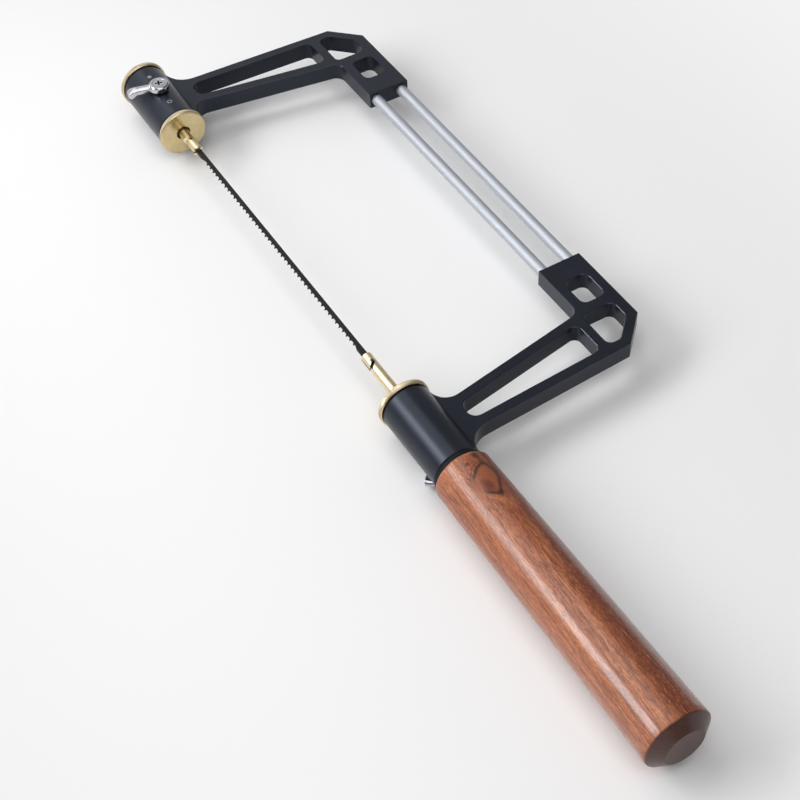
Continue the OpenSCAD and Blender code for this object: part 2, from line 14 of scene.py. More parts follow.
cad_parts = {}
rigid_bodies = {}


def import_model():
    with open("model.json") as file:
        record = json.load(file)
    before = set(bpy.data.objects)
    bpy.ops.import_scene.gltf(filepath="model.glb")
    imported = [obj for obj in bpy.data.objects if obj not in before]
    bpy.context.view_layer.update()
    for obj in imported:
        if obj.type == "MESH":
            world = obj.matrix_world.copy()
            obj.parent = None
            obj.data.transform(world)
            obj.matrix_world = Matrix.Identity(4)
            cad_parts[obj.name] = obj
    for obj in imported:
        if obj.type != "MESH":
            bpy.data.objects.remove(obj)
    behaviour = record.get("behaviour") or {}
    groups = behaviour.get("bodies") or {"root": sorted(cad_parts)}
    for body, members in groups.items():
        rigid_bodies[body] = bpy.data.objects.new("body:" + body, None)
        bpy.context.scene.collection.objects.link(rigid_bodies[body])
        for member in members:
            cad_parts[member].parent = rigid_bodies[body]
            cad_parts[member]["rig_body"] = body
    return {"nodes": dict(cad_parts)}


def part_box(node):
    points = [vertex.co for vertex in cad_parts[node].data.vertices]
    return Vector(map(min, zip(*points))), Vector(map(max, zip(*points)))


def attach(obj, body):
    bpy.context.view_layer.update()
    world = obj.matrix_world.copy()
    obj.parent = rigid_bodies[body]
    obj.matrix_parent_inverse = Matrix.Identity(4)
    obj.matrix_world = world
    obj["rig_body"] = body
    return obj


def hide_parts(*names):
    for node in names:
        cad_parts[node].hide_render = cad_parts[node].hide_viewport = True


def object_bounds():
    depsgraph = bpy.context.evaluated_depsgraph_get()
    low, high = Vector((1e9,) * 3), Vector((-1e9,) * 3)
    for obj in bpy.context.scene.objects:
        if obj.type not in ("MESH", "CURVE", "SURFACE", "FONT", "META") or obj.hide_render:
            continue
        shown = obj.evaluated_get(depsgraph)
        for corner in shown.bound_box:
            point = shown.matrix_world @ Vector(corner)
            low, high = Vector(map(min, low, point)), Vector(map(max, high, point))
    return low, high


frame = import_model()
CAD_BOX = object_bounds()

bl_info = {
    "name": "Fret saw",
    "version": (1, 0, 0),
    "blender": (4, 5, 0),
    "location": "3D View > Sidebar > Fret saw",
    "description": "Finishes the pieces of a fret saw and sets it on a studio floor",
    "category": "Object",
}

MM = 0.001
MAX_BRIGHTNESS = 20.0
# Two lengths closer than this are the same
SAME = 0.01 * MM
# Points closer than this are one point
JOINED = 0.0005 * MM


def middle(node):
    """Middle of a CAD node's box."""
    low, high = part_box(node)
    return (low + high) / 2


# Settings that a user would change


def length(label, about, millimetres):
    """Setting for a size, given in millimetres."""
    return bpy.props.FloatProperty(
        name=label, description=about, default=millimetres * MM, min=0.0, unit="LENGTH", precision=5)


def colour(label, about, *rgb):
    """Setting for a colour, given as linear red, green and blue."""
    return bpy.props.FloatVectorProperty(
        name=label, description=about, default=rgb, min=0.0, max=1.0, size=3, subtype="COLOR")


def glow(label, about, default):
    """Setting for how bright a lamp's face or the room is; 1 is white."""
    return bpy.props.FloatProperty(
        name=label, description=about, default=default, min=0.0, max=MAX_BRIGHTNESS)


class SawSizes(bpy.types.PropertyGroup):
    """Small forms that the finished pieces add to the solids."""

    opening_chamfer: length("Opening chamfer", "Width of the chamfer round the arms' openings", 0.7)
    outline_chamfer: length("Outline chamfer", "Width of the chamfer round the arms' outside", 0.25)
    cast_detail: length("Cast detail", "Finest form that a cast lever keeps", 0.15)
    knurl_depth: length("Knurl depth", "Depth of the grooves round the brass discs", 0.14)
    knurl_ridges: bpy.props.IntProperty(
        name="Knurl ridges", description="Ridges round a brass disc", default=96, min=12, max=200)
    tooth_set: length("Tooth set", "How far each tooth leans out of the blade's plane", 0.14)
    tooth_count: bpy.props.IntProperty(
        name="Teeth", description="Teeth along the blade", default=46, min=1, max=200)


class SawColours(bpy.types.PropertyGroup):
    """Colours of the finishes."""

    anodised: colour("Anodised", "Blue-black anodising of the arms", 0.0095, 0.011, 0.0165)
    # Paler chamfers of the arms: thin, worn anodising and a painted sheen
    worn_edge_and_sheen: colour("Worn edge", "Thin anodising on the edges of the arms", 0.045, 0.048, 0.058)
    ink: colour("Ink", "Printed marks beside the front lever", 0.3, 0.31, 0.35)
    disc_brass: colour("Disc brass", "Turned brass of the knurled discs", 0.72, 0.58, 0.32)
    # Paler copy of the disc brass: a painted sheen on the knurled rims
    rim_brass_sheen: colour("Rim brass", "Brass of the discs' knurled rims", 0.84, 0.73, 0.53)
    tarnish: colour("Tarnish", "Brown in the grooves of the knurled discs", 0.2, 0.13, 0.085)
    spindle_brass: colour("Spindle brass", "Polished brass of the blade holders", 0.87, 0.73, 0.48)
    rod_steel: colour("Rod steel", "Satin drawn steel of the spine rods", 0.56, 0.58, 0.63)
    dark_steel: colour("Dark steel", "Blackened steel of the small screws and pins", 0.1, 0.1, 0.108)
    chrome: colour("Chrome", "Plating of the levers", 0.56, 0.57, 0.6)
    blade_steel: colour("Blade steel", "Blued steel of the blade", 0.02, 0.02, 0.019)
    ground_steel: colour("Ground steel", "Ground flanks of the teeth", 0.06, 0.06, 0.057)
    nylon: colour("Nylon", "Black washers and ring", 0.005, 0.005, 0.006)
    wood_light: colour("Light wood", "Pale bands of the handle", 0.48, 0.168, 0.066)
    wood_red: colour("Red wood", "Middle tone of the handle", 0.325, 0.087, 0.031)
    wood_dark: colour("Dark wood", "Dark bands of the handle", 0.125, 0.02, 0.006)
    wood_knot: colour("Knot", "Darkest lines of the handle's figure", 0.013, 0.006, 0.005)


class SawStudio(bpy.types.PropertyGroup):
    """Floor and light."""

    floor: colour("Floor", "Pale floor under the saw", 0.9, 0.9, 0.905)
    key: glow("Key light", "Brightness of the softbox on the blade's side", 8.7)
    overhead: glow("Overhead light", "Brightness of the panel above the handle", 1.5)
    ceiling: glow("Ceiling light", "Brightness of the panel above the front barrel", 1.4)
    window: glow("Window", "Brightness of the room beyond the front barrel", 0.85)
    room: glow("Room", "Brightness of the rest of the room", 0.2)


class FretSaw(bpy.types.PropertyGroup):
    """All settings of the saw."""

    sizes: bpy.props.PointerProperty(type=SawSizes)
    colours: bpy.props.PointerProperty(type=SawColours)
    studio: bpy.props.PointerProperty(type=SawStudio)


# Node trees


class Value:
    """Output of a node that takes part in Python arithmetic."""

    def __init__(self, nodes, socket):
        self.nodes = nodes
        self.socket = socket

    def out(self, name):
        """Another output of the same node."""
        return Value(self.nodes, self.socket.node.outputs[name])

    def math(self, operation, *values):
        """Math node on the given values and links."""
        return self.nodes.node("ShaderNodeMath", {"operation": operation}, dict(enumerate(values)))

    def __add__(self, other):
        return self.math("ADD", self, other)

    def __radd__(self, other):
        return self.math("ADD", other, self)

    def __sub__(self, other):
        return self.math("SUBTRACT", self, other)

    def __rsub__(self, other):
        return self.math("SUBTRACT", other, self)

    def __mul__(self, other):
        return self.math("MULTIPLY", self, other)

    def __rmul__(self, other):
        return self.math("MULTIPLY", other, self)

    def __truediv__(self, other):
        return self.math("DIVIDE", self, other)

    def __rtruediv__(self, other):
        return self.math("DIVIDE", other, self)

    def __pow__(self, other):
        return self.math("POWER", self, other)

    def __gt__(self, other):
        return self.math("GREATER_THAN", self, other)

    def __lt__(self, other):
        return self.math("LESS_THAN", self, other)

    def __abs__(self):
        return self.math("ABSOLUTE", self)


class Nodes:
    """Writes one node tree, with every node made by node()."""

    def __init__(self, tree):
        self.tree = tree

    def node(self, kind, settings=None, inputs=None, output=0):
        """New node: its settings are made first, then its sockets are set or linked."""
        made = self.tree.nodes.new(kind)
        for name, value in (settings or {}).items():
            setattr(made, name, value)
        for key, value in (inputs or {}).items():
            if isinstance(value, Value):
                self.tree.links.new(value.socket, made.inputs[key])
            else:
                made.inputs[key].default_value = value
        return Value(self, made.outputs[output]) if made.outputs else None

    def split(self, vector):
        """The three parts of a vector."""
        parts = self.node("ShaderNodeSeparateXYZ", inputs={"Vector": vector})
        return parts, parts.out("Y"), parts.out("Z")

    def stretch(self, vector, *factors):
        """Vector with each part scaled by its own factor."""
        return self.node("ShaderNodeVectorMath", {"operation": "MULTIPLY"}, {0: vector, 1: factors})

    def shift(self, vector, other):
        """Sum of two vectors."""
        return self.node("ShaderNodeVectorMath", {"operation": "ADD"}, {0: vector, 1: other})

    def noise(self, vector, scale, detail=2.0, rough=0.5):
        """Even noise from 0 to 1 in space."""
        return self.node("ShaderNodeTexNoise", {"noise_dimensions": "3D"},
                         {"Vector": vector, "Scale": scale, "Detail": detail, "Roughness": rough})

    def lines(self, value, scale, detail=2.0, rough=0.5):
        """Uneven lines from 0 to 1 along a single value."""
        return self.node("ShaderNodeTexNoise", {"noise_dimensions": "1D"},
                         {"W": value, "Scale": scale, "Detail": detail, "Roughness": rough})

    def step(self, value, low, high):
        """Smooth step from 0 at low to 1 at high."""
        return self.node("ShaderNodeMapRange", {"interpolation_type": "SMOOTHSTEP"},
                         {"Value": value, "From Min": low, "From Max": high})

    def mix(self, factor, first, second):
        """Colour between two colours."""
        first, second = (c if isinstance(c, Value) else (*c, 1.0) for c in (first, second))
        return self.node("ShaderNodeMix", {"data_type": "RGBA"}, {0: factor, 6: first, 7: second}, 2)

    def bump(self, height, depth, strength=1.0):
        """Normal of a surface raised by height times depth, in metres."""
        return self.node("ShaderNodeBump", inputs={
            "Height": height, "Distance": depth, "Strength": strength})


class Finish(Nodes):
    """A material's node tree, with the surface's own coordinates at hand."""

    def __init__(self, name):
        self.material = bpy.data.materials.new(name)
        self.material.use_nodes = True
        super().__init__(self.material.node_tree)
        self.tree.nodes.clear()
        self.place = self.node("ShaderNodeTexCoord", output="Object")
        self.x, self.y, self.z = self.split(self.place)

    def turned_radius(self):
        """Distance from the blade's line."""
        return (self.y * self.y + self.z * self.z) ** 0.5

    def distance(self, x, y):
        """Distance from a point, seen from above."""
        return ((self.x - x) * (self.x - x) + (self.y - y) * (self.y - y)) ** 0.5

    def shade(self, sockets):
        """Closes the tree with a Principled shader and gives its material."""
        shader = self.node("ShaderNodeBsdfPrincipled", inputs=sockets)
        self.node("ShaderNodeOutputMaterial", inputs={"Surface": shader})
        return self.material


def scaled(rgb, factor):
    """Colour made lighter or darker."""
    return tuple(min(1.0, c * factor) for c in rgb)


# Finishes


def anodised_finish(name, colours, marks=None):
    """Blasted, anodised aluminium, paler on its chamfers from worn anodising and a painted sheen; marks
    are the middles of a dot and a ring.
    """
    f = Finish(name)
    blast = f.noise(f.place, 2200, 2)
    handling = f.noise(f.place, 55, 3, 0.6)
    rub = f.step(f.noise(f.place, 620, 3, 0.65), 0.42, 0.68)
    edge = f.node("ShaderNodeAttribute", {"attribute_name": "edge"}, output="Fac")
    tone = f.mix(
        f.step(handling, 0.3, 0.7), scaled(colours.anodised, 0.85), scaled(colours.anodised, 1.2))
    tone = f.mix(blast * 0.3, tone, scaled(colours.anodised, 0.6))
    # Chamfers made paler: partly worn anodising, partly a painted sheen
    tone = f.mix(edge * (0.2 + 0.5 * rub), tone, colours.worn_edge_and_sheen)
    rough = 0.245 + 0.07 * handling + 0.05 * blast - 0.1 * edge
    if marks:
        dot, ring = marks
        ring_r, barrel_top = 0.95 * MM, 8 * MM
        printed = f.step(f.distance(*dot), 1.05 * MM, 0.9 * MM)
        circle = f.step(abs(f.distance(*ring) - ring_r), 0.27 * MM, 0.17 * MM)
        ink = (printed + circle) * (f.z > barrel_top) * (0.65 + 0.35 * blast)
        tone = f.mix(ink, tone, colours.ink)
        rough = rough + 0.12 * ink
    return f.shade({"Base Color": tone, "Roughness": rough, "Specular IOR Level": 0.42,
                    "Specular Tint": (0.7, 0.8, 1.0, 1.0), "Normal": f.bump(blast, 0.012 * MM, 0.55)})


def disc_finish(colours):
    """Brass with the fine rings of a lathe tool on its face, and a rim lightened by a painted sheen, with
    brown grooves.
    """
    f = Finish("disc_brass")
    face_r, rim_r = 10.75 * MM, 11.0 * MM
    groove_r, ridge_r = 11.1 * MM, 11.19 * MM
    radius = f.turned_radius()
    cut = f.lines(radius, 5200, 3, 0.6)
    haze = f.noise(f.place, 240, 3, 0.6)
    tone = f.mix(
        f.step(haze, 0.3, 0.75), scaled(colours.disc_brass, 0.9), scaled(colours.disc_brass, 1.06))
    tone = f.mix(cut * 0.25, tone, scaled(colours.disc_brass, 0.72))
    rim = f.step(radius, face_r, rim_r)
    groove = f.step(radius, ridge_r, groove_r) * (radius > rim_r)
    # Painted sheen: the rim takes a paler copy of the brass
    tone = f.mix(rim * 0.85, tone, colours.rim_brass_sheen)
    tone = f.mix(groove * 0.6, tone, colours.tarnish)
    rough = 0.17 + 0.1 * haze + 0.08 * cut + 0.14 * rim
    return f.shade({"Base Color": tone, "Metallic": 1.0, "Roughness": rough,
                    "Normal": f.bump(cut, 0.012 * MM, 0.6)})


def spindle_finish(colours, shade_from):
    """Polished brass with turning lines, darkened by painted shade inside the barrels, past the two given
    x.
    """
    f = Finish("spindle_brass")
    cut = f.lines(f.x, 4200, 2)
    haze = f.noise(f.stretch(f.place, 0.5, 1.0, 1.0), 420, 3, 0.6)
    tone = f.mix(haze, scaled(colours.spindle_brass, 0.88), scaled(colours.spindle_brass, 1.05))
    front, rear = shade_from
    # Painted shade: dark brass inside the collars and barrels, seen in the collar's bore
    painted_shade = (f.x < front) + (f.x > rear)
    tone = f.mix(painted_shade, tone, scaled(colours.spindle_brass, 0.15))
    rough = 0.2 + 0.12 * haze + 0.06 * cut + 0.3 * painted_shade
    return f.shade({"Base Color": tone, "Metallic": 1.0, "Roughness": rough,
                    "Normal": f.bump(cut, 0.005 * MM, 0.5)})


def drawn_steel_finish(colours):
    """Satin steel with the long fine lines of drawing."""
    f = Finish("drawn_steel")
    draw = f.noise(f.stretch(f.place, 0.012, 1.0, 1.0), 2600, 3, 0.6)
    haze = f.noise(f.stretch(f.place, 0.3, 1.0, 1.0), 110, 3, 0.6)
    tone = f.mix(f.step(draw, 0.3, 0.7), scaled(colours.rod_steel, 0.93), colours.rod_steel)
    rough = 0.56 + 0.06 * draw + 0.08 * haze
    return f.shade({"Base Color": tone, "Metallic": 1.0, "Roughness": rough})


def chrome_finish(name, colours, recess=None):
    """Bright plating with smudges and a faint orange peel; painted shade darkens it below the height of a
    recess.
    """
    f = Finish(name)
    smudge = f.step(f.noise(f.place, 330, 3, 0.6), 0.4, 0.75)
    peel = f.noise(f.place, 900, 1)
    tone = f.mix(smudge, colours.chrome, scaled(colours.chrome, 0.88))
    if recess:
        # Painted shade: near black below the height of the recess
        recess_shade = f.step(abs(f.z), recess, recess - 0.25 * MM)
        tone = f.mix(recess_shade, tone, scaled(colours.chrome, 0.06))
    return f.shade({"Base Color": tone, "Metallic": 1.0, "Roughness": 0.07 + 0.14 * smudge,
                    "Normal": f.bump(peel, 0.012 * MM, 0.4)})


def dark_steel_finish(name, colours, pitch=None, along=0):
    """Blackened steel; pitch is that of a thread along one axis, in metres."""
    f = Finish(name)
    scale_marks = f.noise(f.place, 1500, 3, 0.6)
    tone = f.mix(scale_marks, scaled(colours.dark_steel, 0.7), scaled(colours.dark_steel, 1.3))
    height, depth = scale_marks, 0.01 * MM
    if pitch:
        axis = (f.x, f.y, f.z)[along]
        height = axis.math("PINGPONG", axis, pitch / 2) / (pitch / 2)
        depth = 0.3 * MM
    return f.shade({"Base Color": tone, "Metallic": 1.0, "Roughness": 0.3 + 0.2 * scale_marks,
                    "Normal": f.bump(height, depth, 0.8)})


def blade_finish(colours):
    """Blued blade, polished lengthwise, with brighter flanks where its teeth were ground."""
    f = Finish("blade_steel")
    polish = f.noise(f.stretch(f.place, 0.03, 1.0, 1.0), 5200, 3, 0.6)
    bluing = f.noise(f.stretch(f.place, 0.4, 1.0, 1.0), 420, 3, 0.6)
    ground_from, ground_full = -0.55 * MM, -1.2 * MM
    ground = f.step(f.y, ground_from, ground_full)
    tone = f.mix(bluing, scaled(colours.blade_steel, 0.75), scaled(colours.blade_steel, 1.3))
    tone = f.mix(ground * (0.45 + 0.4 * polish), tone, colours.ground_steel)
    rough = 0.3 + 0.12 * polish + 0.1 * bluing
    return f.shade({"Base Color": tone, "Metallic": 0.6, "Roughness": rough,
                    "Normal": f.bump(polish, 0.006 * MM, 0.5)})


def nylon_finish(colours):
    """Matt black nylon with a fine moulded grain."""
    f = Finish("black_nylon")
    grain = f.noise(f.place, 2600, 3, 0.6)
    tone = f.mix(grain, scaled(colours.nylon, 0.6), scaled(colours.nylon, 1.5))
    return f.shade({"Base Color": tone, "Roughness": 0.55 + 0.15 * grain, "Specular IOR Level": 0.2,
                    "Normal": f.bump(grain, 0.02 * MM, 0.4)})


def wood_finish(colours):
    """Lacquered reddish hardwood: growth bands, short fibres, open pores and a knot near the front."""
    f = Finish("rosewood")
    handle_r = 12.3 * MM
    lean = f.noise(f.stretch(f.place, 0.25, 1.0, 1.0), 46, 2)
    wave = f.noise(f.stretch(f.place, 0.35, 1.0, 1.0), 150, 2)
    ripple = (f.noise(f.place, 170, 2) - 0.5) * (2.6 * MM)
    turn = f.y.math("ARCTAN2", f.y * -1.0, f.z) * handle_r

    def outside(corners):
        """Distance outside a convex outline of (x, turn) corners in millimetres."""
        far = None
        for (x, t), (next_x, next_t) in zip(corners, corners[1:] + corners[:1]):
            side = math.hypot(next_x - x, next_t - t)
            away_x, away_t = (next_t - t) / side, (x - next_x) / side
            edge = f.x * away_x + turn * away_t - (x * away_x + t * away_t) * MM
            far = edge if far is None else far.math("SMOOTH_MAX", far, edge, 1.6 * MM)
        return far

    def blotch(x, around, long, wide):
        """Soft patch on the handle's surface, from 0 to 1."""
        u = (f.x - x * MM + ripple) / (long * MM)
        v = (turn - around * MM + ripple) / (wide * MM)
        return f.step((u * u + v * v) ** 0.5, 1.2, 0.2)

    wander = (f.noise(f.place, 300, 2) - 0.5) * (1.1 * MM)
    knot = outside([
        (-60.8, -4.6), (-55.6, -7.6), (-44.2, -2.4), (-47.9, 2.0), (-55.5, 2.9), (-59.2, -0.4)])
    knot = knot + ripple * 0.2 + wander
    near = f.step(knot, 7 * MM, -1 * MM)

    # Growth bands about an axis outside the handle, bulging round the knot
    axis_y, axis_z = f.y + 31 * MM, f.z + 46 * MM
    ring = (axis_y * axis_y + axis_z * axis_z) ** 0.5 + 0.055 * f.x
    ring = ring + (lean - 0.5) * (7 * MM) + (wave - 0.5) * (1.6 * MM) + near * (5 * MM)
    band = f.lines(ring, 130, 3, 0.55)
    fine = f.lines(ring, 1050, 2)
    drift = f.node("ShaderNodeCombineXYZ", inputs={"Y": (wave - 0.5) * (3 * MM), "Z": ring * 0.4})
    flow = f.shift(f.place, drift)
    fleck = f.noise(f.stretch(flow, 0.07, 1.0, 1.0), 2300, 3, 0.6)
    streak = f.noise(f.stretch(flow, 0.05, 1.0, 1.0), 620, 3, 0.6)
    speck = f.noise(f.stretch(flow, 0.22, 1.0, 1.0), 3300, 2)
    pore = f.step(f.noise(f.stretch(flow, 0.06, 1.0, 1.0), 3600, 1), 0.6, 0.72)

    tone = f.mix(f.step(band, 0.34, 0.6), colours.wood_red, colours.wood_light)
    tone = f.mix(f.step(f.y, -7 * MM, -12 * MM) * 0.4, tone, colours.wood_red)
    tone = f.mix(f.step(streak, 0.52, 0.36) * 0.8, tone, scaled(colours.wood_red, 0.66))
    tone = f.mix(f.step(streak, 0.54, 0.68) * 0.5, tone, scaled(colours.wood_light, 1.2))
    tone = f.mix(f.step(fine, 0.5, 0.3) * 0.15, tone, colours.wood_dark)

    # Darker on the spine's side, wider towards the butt
    spine_side_dark = f.step(f.y + 0.05 * f.x + ripple + (streak - 0.5) * (5 * MM), -0.6 * MM, 5 * MM)
    tone = f.mix(spine_side_dark * (0.7 + 0.25 * band), tone, colours.wood_dark)
    tone = f.mix(f.step(fleck, 0.5, 0.34) * 0.75, tone, colours.wood_dark)
    tone = f.mix(f.step(fleck, 0.54, 0.68) * 0.5, tone, scaled(colours.wood_light, 1.35))
    tone = f.mix(f.step(speck, 0.48, 0.3) * 0.6, tone, scaled(colours.wood_dark, 0.9))
    tone = f.mix(f.step(speck, 0.55, 0.72) * 0.45, tone, scaled(colours.wood_light, 1.5))

    # Knot and the dark patches round it
    blush = f.step(f.x, -38 * MM, -56 * MM) * f.step(abs(turn + 4 * MM), 8 * MM, 2 * MM)
    tone = f.mix(blush * (0.3 + 0.4 * wave), tone, scaled(colours.wood_red, 0.75))
    tone = f.mix(f.step(abs(knot), 2.2 * MM, 0.2 * MM) * 0.35, tone, colours.wood_dark)
    tone = f.mix(f.step(knot, 0.3 * MM, -0.6 * MM) * 0.7, tone, scaled(colours.wood_red, 0.85))
    tone = f.mix(blotch(-49.6, 0.2, 5.0, 2.8) * 0.9, tone, scaled(colours.wood_dark, 1.1))
    front = f.step(f.x, -53.5 * MM, -57 * MM)
    bare = f.step(turn, -2 * MM, 0.0) * f.step(f.x, -47 * MM, -49.5 * MM)
    heavy = 1.0 - bare * (1.0 - front)
    line = f.step(abs(knot), 0.5 * MM + heavy * (0.5 * MM), 0.1 * MM)
    line = line * (0.15 + 0.85 * heavy * (0.6 + 0.5 * wave))
    echo = f.step(abs(knot - 1.5 * MM), 0.7 * MM, 0.1 * MM) * front * 0.45
    tone = f.mix(line, tone, f.mix(front, scaled(colours.wood_dark, 0.3), colours.wood_knot))
    tone = f.mix(echo, tone, scaled(colours.wood_dark, 0.6))
    tone = f.mix(blotch(-45.3, -2.2, 1.5, 1.3) * 0.8, tone, colours.wood_knot)
    tone = f.mix(blotch(-64.9, -3.9, 2.4, 2.1) * 0.85, tone, colours.wood_knot)
    tone = f.mix(blotch(-61.8, -4.3, 2.6, 1.0) * 0.5, tone, colours.wood_knot)
    tone = f.mix(blotch(-62.4, 1.3, 1.4, 1.2) * 0.75, tone, scaled(colours.wood_dark, 0.6))
    tone = f.mix(pore * 0.65, tone, scaled(colours.wood_dark, 0.5))

    # End grain of the butt
    butt = f.step(f.x, 63.4 * MM, 64.6 * MM)
    tone = f.mix(butt * (0.97 - 0.1 * fine), tone, scaled(colours.wood_dark, 0.33))

    height = fleck * 0.5 - pore
    worn = f.step(f.x, -65 * MM, 45 * MM) * f.step(f.x, 63 * MM, 61 * MM)
    return f.shade({"Base Color": tone, "Roughness": 0.4 - 0.06 * worn + 0.12 * fleck + 0.08 * pore,
                    "Specular IOR Level": 0.45, "Coat Weight": 0.38 + 0.4 * worn - 0.15 * pore,
                    "Coat Roughness": 0.15, "Coat IOR": 1.5,
                    "Normal": f.bump(height, 0.02 * MM, 0.25)})


# Meshes


def merged(node):
    """A CAD node's shape with its loose triangles joined and its flat faces made whole."""
    source = frame["nodes"][node].data
    shape = bmesh.new()
    corners = [shape.verts.new(v.co) for v in source.vertices]
    for face in source.polygons:
        shape.faces.new([corners[i] for i in face.vertices])
    bmesh.ops.remove_doubles(shape, verts=shape.verts, dist=JOINED)
    bmesh.ops.dissolve_limit(
        shape, angle_limit=math.radians(0.4), verts=shape.verts, edges=shape.edges)
    return shape


def lathed(outline, turns):
    """Closed solid turned about the blade's line, from a closed outline of (x, radius) points."""
    shape = bmesh.new()
    rings = []
    for i in range(turns):
        angle = 2 * math.pi * i / turns
        across, up = math.cos(angle), math.sin(angle)
        rings.append([shape.verts.new((x, r * across, r * up)) for x, r in outline])
    for i, ring in enumerate(rings):
        after = rings[(i + 1) % turns]
        for k in range(len(outline)):
            m = (k + 1) % len(outline)
            shape.faces.new((ring[k], ring[m], after[m], after[k]))
    bmesh.ops.recalc_face_normals(shape, faces=shape.faces)
    return shape


def piece(name, shape, material):
    """New object from a shape, at the origin, with one material."""
    mesh = bpy.data.meshes.new(name)
    shape.to_mesh(mesh)
    shape.free()
    mesh.materials.append(material)
    made = bpy.data.objects.new(name, mesh)
    bpy.context.scene.collection.objects.link(made)
    return made


def settle(made):
    """Turns an object's modifiers into its plain mesh."""
    depsgraph = bpy.context.evaluated_depsgraph_get()
    shaped = bpy.data.meshes.new_from_object(
        made.evaluated_get(depsgraph), preserve_all_data_layers=True, depsgraph=depsgraph)
    first = made.data
    made.modifiers.clear()
    made.data = shaped
    bpy.data.meshes.remove(first)
    shaped.name = made.name


def soften(made, degrees):
    """Smooth shading, with edges kept crisp above an angle."""
    made.data.shade_smooth()
    made.data.set_sharp_from_angle(angle=math.radians(degrees))


def stands_for(made, node):
    """Puts a finished piece in the place of a CAD node."""
    body = frame["nodes"][node]["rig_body"]
    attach(made, body)
    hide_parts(node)


def dress(material, *nodes):
    """Gives CAD nodes that keep their own shape a finish."""
    for node in nodes:
        mesh = frame["nodes"][node].data
        mesh.materials.clear()
        mesh.materials.append(material)


def add_shaper(made, tree, values):
    """Sets a Geometry Nodes tree on an object, its inputs by name, and settles the result."""
    modifier = made.modifiers.new(tree.name, "NODES")
    modifier.node_group = tree
    for item in tree.interface.items_tree:
        if item.item_type == "SOCKET" and item.in_out == "INPUT" and item.name in values:
            modifier[item.identifier] = values[item.name]
    settle(made)


def shaper_tree(name, inputs):
    """New Geometry Nodes tree with a shape, the named inputs and a material going in."""
    tree = bpy.data.node_groups.new(name, "GeometryNodeTree")
    tree.interface.new_socket("Shape", in_out="INPUT", socket_type="NodeSocketGeometry")
    for label, kind in inputs:
        tree.interface.new_socket(label, in_out="INPUT", socket_type=kind)
    tree.interface.new_socket("Material", in_out="INPUT", socket_type="NodeSocketMaterial")
    tree.interface.new_socket("Shape", in_out="OUTPUT", socket_type="NodeSocketGeometry")
    nodes = Nodes(tree)
    return tree, nodes, nodes.node("NodeGroupInput")


def close_shaper(nodes, given, shape):
    """Ends a Geometry Nodes tree in plain geometry with its material."""
    plain = nodes.node("GeometryNodeRealizeInstances", inputs={"Geometry": shape})
    done = nodes.node("GeometryNodeSetMaterial", inputs={
        "Geometry": plain, "Material": given.out("Material")})
    nodes.node("NodeGroupOutput", inputs={"Shape": done})


def knurl_tree():
    """Cuts straight grooves into a turned rim: its points carry how far they are on the rim."""
    tree, n, given = shaper_tree("knurl", [("Ridges", "NodeSocketInt"), ("Depth", "NodeSocketFloat")])
    _, y, z = n.split(n.node("GeometryNodeInputPosition"))
    round_about = y.math("ARCTAN2", z, y) / (2 * math.pi) + 0.5
    groove = y.math("PINGPONG", round_about * given.out("Ridges"), 0.5) * 2.0
    rim = n.node("GeometryNodeInputNamedAttribute", {"data_type": "FLOAT"},
                 {"Name": "rim"}, "Attribute")
    inward = groove * rim * given.out("Depth") * -1.0
    outward = n.node("ShaderNodeVectorMath", {"operation": "NORMALIZE"},
                     {0: n.node("ShaderNodeCombineXYZ", inputs={"Y": y, "Z": z})})
    move = n.node("ShaderNodeVectorMath", {"operation": "SCALE"}, {0: outward, "Scale": inward})
    cut = n.node("GeometryNodeSetPosition", inputs={"Geometry": given.out("Shape"), "Offset": move})
    close_shaper(n, given, cut)
    return tree


def tooth_set_tree():
    """Leans the teeth of a blade out of its plane, one to each side in turn."""
    tree, n, given = shaper_tree("tooth_set", [
        ("First tooth", "NodeSocketFloat"), ("Pitch", "NodeSocketFloat"),
        ("Root", "NodeSocketFloat"), ("Tip", "NodeSocketFloat"),
        ("Last tooth", "NodeSocketFloat"), ("Set", "NodeSocketFloat")])
    x, y, _ = n.split(n.node("GeometryNodeInputPosition"))
    number = (x - given.out("First tooth")) / given.out("Pitch")
    number = number.math("FLOOR", number)
    side = number.math("FLOORED_MODULO", number, 2.0) * 2.0 - 1.0
    toothed = (x > given.out("First tooth")) * (x < given.out("Last tooth"))
    height = n.node("ShaderNodeMapRange", inputs={
        "Value": y, "From Min": given.out("Root"), "From Max": given.out("Tip")})
    lean = n.node("ShaderNodeCombineXYZ", inputs={"Z": side * toothed * height * given.out("Set")})
    bent = n.node("GeometryNodeSetPosition", inputs={"Geometry": given.out("Shape"), "Offset": lean})
    close_shaper(n, given, bent)
    return tree


def plate_rims(shape, clear_y):
    """Edges between an arm's flat faces and its walls, past clear_y: round its openings, and outside."""
    spine_y = max(v.co.y for v in shape.verts)
    plate_z = max(abs(v.co.z) for v in shape.verts if v.co.y > spine_y - SAME)
    rims = set()
    for edge in shape.edges:
        if len(edge.link_faces) != 2 or min(v.co.y for v in edge.verts) < clear_y:
            continue
        if any(abs(abs(v.co.z) - plate_z) > SAME for v in edge.verts):
            continue
        flat, wall = sorted(edge.link_faces, key=lambda face: -abs(face.normal.z))
        if abs(flat.normal.z) > 0.99 and abs(wall.normal.z) < 0.3:
            rims.add(edge)
    found = {"openings": [], "outline": []}
    while rims:
        chain, waiting = [], [rims.pop()]
        while waiting:
            edge = waiting.pop()
            chain.append(edge)
            for vert in edge.verts:
                for other in vert.link_edges:
                    if other in rims:
                        rims.remove(other)
                        waiting.append(other)
        reach = max(v.co.y for edge in chain for v in edge.verts)
        found["outline" if reach > spine_y - SAME else "openings"].extend(chain)
    return found


